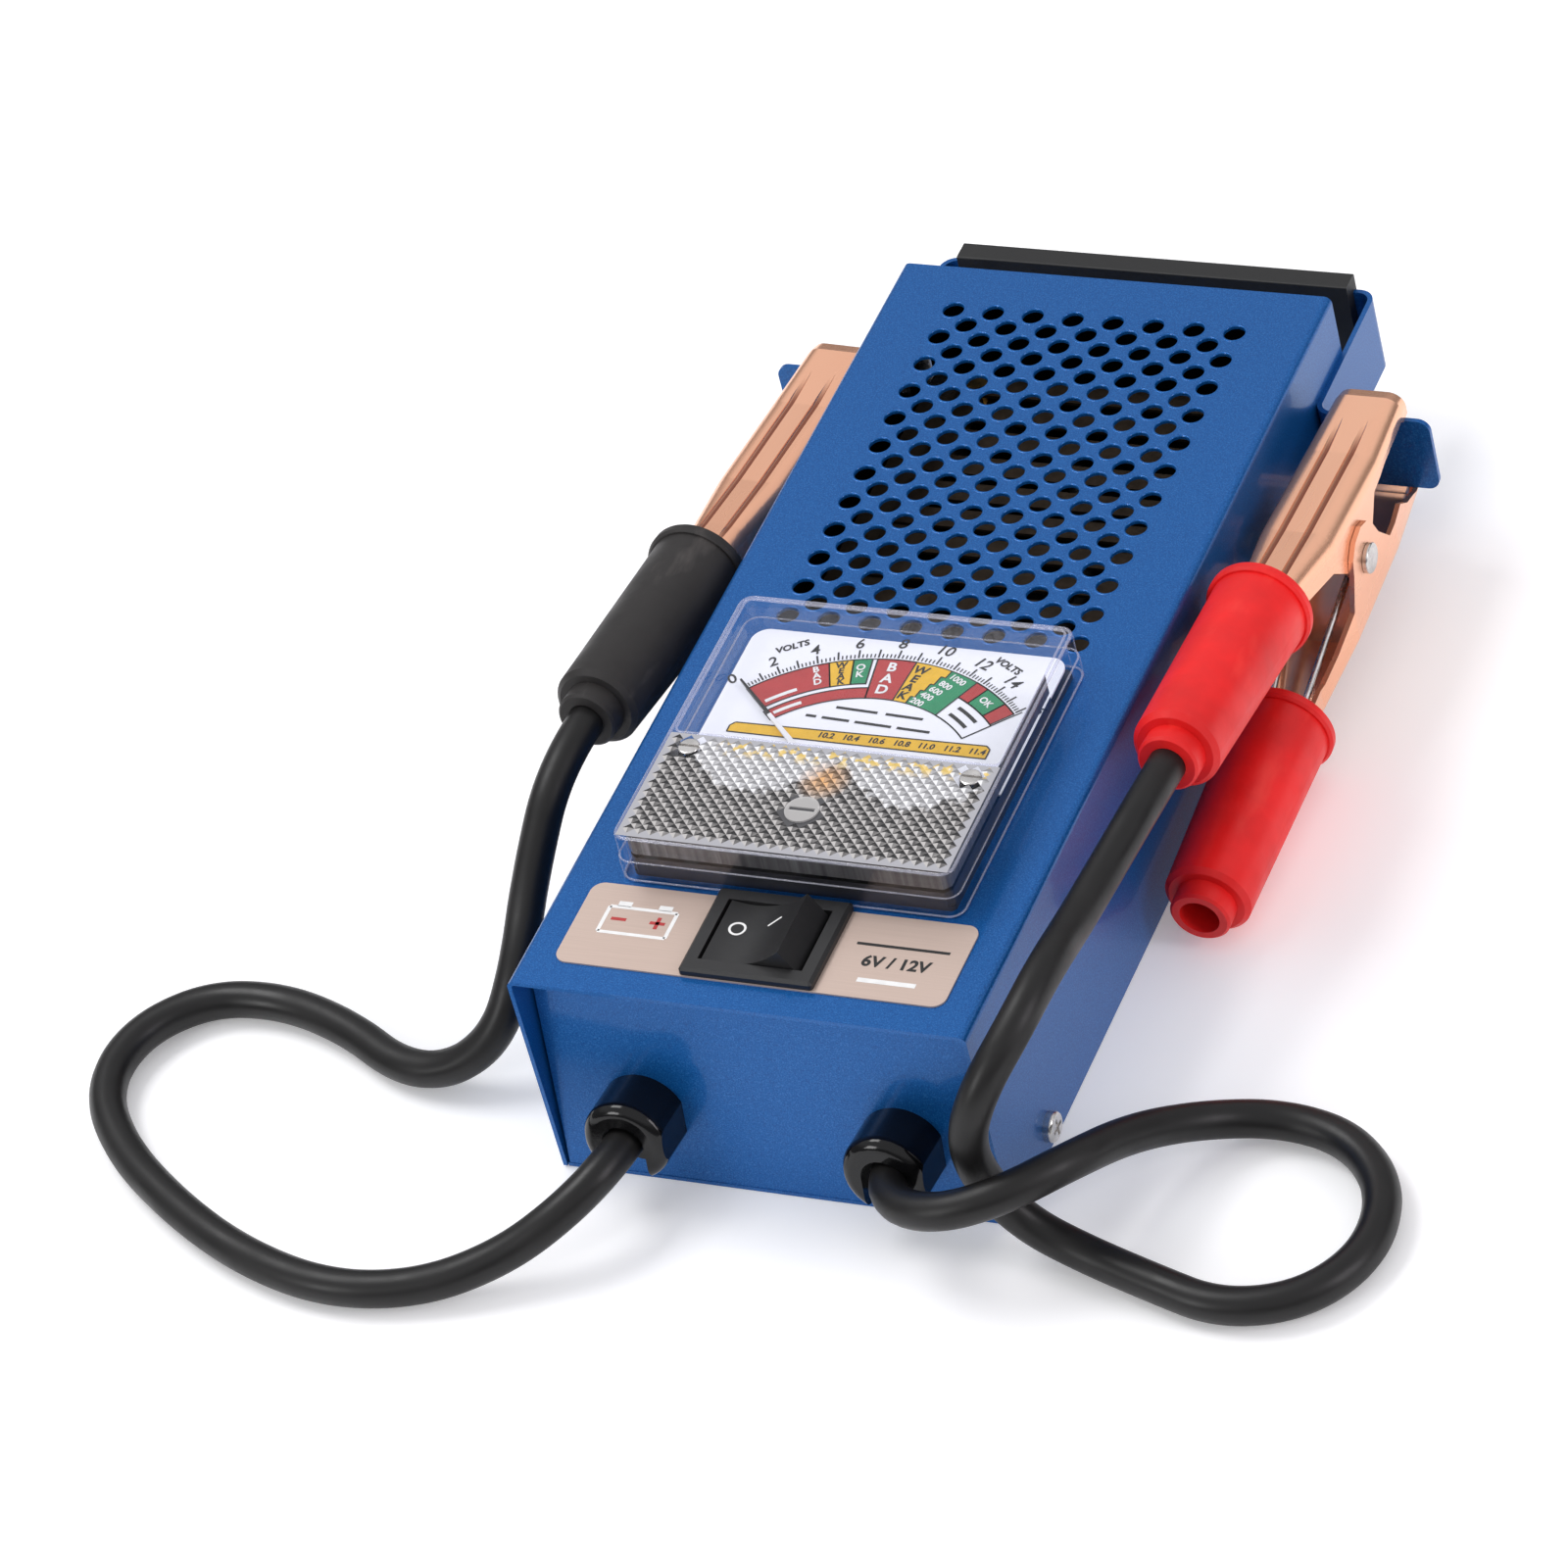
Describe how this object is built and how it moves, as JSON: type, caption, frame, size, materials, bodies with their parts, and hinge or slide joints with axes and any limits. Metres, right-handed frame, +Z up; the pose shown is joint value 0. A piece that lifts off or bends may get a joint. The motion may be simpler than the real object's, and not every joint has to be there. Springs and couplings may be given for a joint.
{
  "type": "battery tester",
  "caption": "Battery load tester: perforated sheet-metal case with a panel meter, rocker switch, rear carry strap and two heavy clamp leads parked on its ears.",
  "frame": {"origin": "on the resting surface, under the middle of the tester without its leads and clamps", "axes": "+X to the right of the front panel, +Y to the carry strap at the back, +Z up"},
  "size_m": [0.3095, 0.3205, 0.0697],
  "materials": {
    "blue_paint": "fine metallic satin",
    "copper_plate": "copper plating, semi-bright",
    "black_rubber": "matt, scuffed",
    "red_rubber": "smooth, slightly glossy",
    "zinc_steel": "nickel plated",
    "spring_steel": "plain",
    "label_metal": "fine brushed",
    "black_plastic": "matt",
    "brass": "plain",
    "clear_cover": "clear",
    "meter_black": "plain",
    "dial_white": "matt print",
    "needle_black": "matt",
    "coil_copper": "enamelled wire",
    "bronze": "plain",
    "plain_steel": "machined",
    "resistance_alloy": "heat-tinted",
    "fibre_board": "plain",
    "inner_wire": "plain",
    "cable_rubber": "satin",
    "gloss_black": "polished"
  },
  "bodies": {
    "tester": {"base_tray": "blue_paint", "carry_strap": "blue_paint", "case_screws": "zinc_steel", "clamp_rivet_left": "zinc_steel", "clamp_rivet_right": "zinc_steel", "cord_bush_left": "gloss_black", "cord_bush_right": "gloss_black", "dial_plate": "dial_white", "hairspring": "bronze", "inner_lead_left": "inner_wire", "inner_lead_right": "inner_wire", "label_plate": "label_metal", "lead_crimp_left": "bronze", "lead_crimp_right": "bronze", "lead_left": "cable_rubber", "lead_right": "cable_rubber", "load_insulators": "fibre_board", "load_ribbon": "resistance_alloy", "load_standoffs": "plain_steel", "load_terminals": "brass", "load_wire": "inner_wire", "meter_bridge": "plain_steel", "meter_core": "plain_steel", "meter_cover": "clear_cover", "meter_housing": "meter_black", "meter_screws": "zinc_steel", "meter_studs": "zinc_steel", "meter_wires": "inner_wire", "meter_yoke": "plain_steel", "strap_grip": "black_rubber", "strap_rivets": "zinc_steel", "switch_housing": "black_plastic", "switch_spring": "spring_steel", "switch_terminals": "brass", "top_cover": "blue_paint", "upper_boot_left": "black_rubber", "upper_boot_right": "red_rubber", "upper_jaw_left": "copper_plate", "upper_jaw_right": "copper_plate"},
    "rocker": {"switch_rocker": "black_plastic"},
    "needle": {"meter_needle": "needle_black", "meter_coil": "coil_copper", "needle_staff": "plain_steel"},
    "adjuster": {"zero_adjuster": "clear_cover"},
    "lower_half_left": {"lower_jaw_left": "copper_plate", "lower_boot_left": "black_rubber", "clamp_spring_left": "spring_steel"},
    "lower_half_right": {"lower_jaw_right": "copper_plate", "lower_boot_right": "red_rubber", "clamp_spring_right": "spring_steel"}
  },
  "joints": [
    {"name": "rocker_press", "type": "hinge", "parent": "tester", "child": "rocker", "pos_m": [0, -0.1083, 0.0533], "axis": [0, 1, 0], "range_deg": [0, 28], "stiffness_Nm_per_rad": 0.12, "springref_deg": -28.65, "deforming": ["switch_spring"]},
    {"name": "needle_swing", "type": "hinge", "parent": "tester", "child": "needle", "pos_m": [0, -0.0665, 0.06], "axis": [0, 0, -1], "range_deg": [0, 94], "stiffness_Nm_per_rad": 0.00002, "springref_deg": -2.86},
    {"name": "zero_adjust", "type": "hinge", "parent": "tester", "child": "adjuster", "pos_m": [0, -0.0803, 0.068], "axis": [0, 0, 1], "range_deg": [-15, 15]},
    {"name": "clamp_left", "type": "hinge", "parent": "tester", "child": "lower_half_left", "pos_m": [-0.06589, 0.05613, 0.032], "axis": [-0.9993, 0.0384, 0], "range_deg": [0, 11], "stiffness_Nm_per_rad": 1.2, "springref_deg": -34.38},
    {"name": "clamp_right", "type": "hinge", "parent": "tester", "child": "lower_half_right", "pos_m": [0.0675, 0.0561, 0.032], "axis": [-1, 0, 0], "range_deg": [0, 11], "stiffness_Nm_per_rad": 1.2, "springref_deg": -34.38}
  ]
}
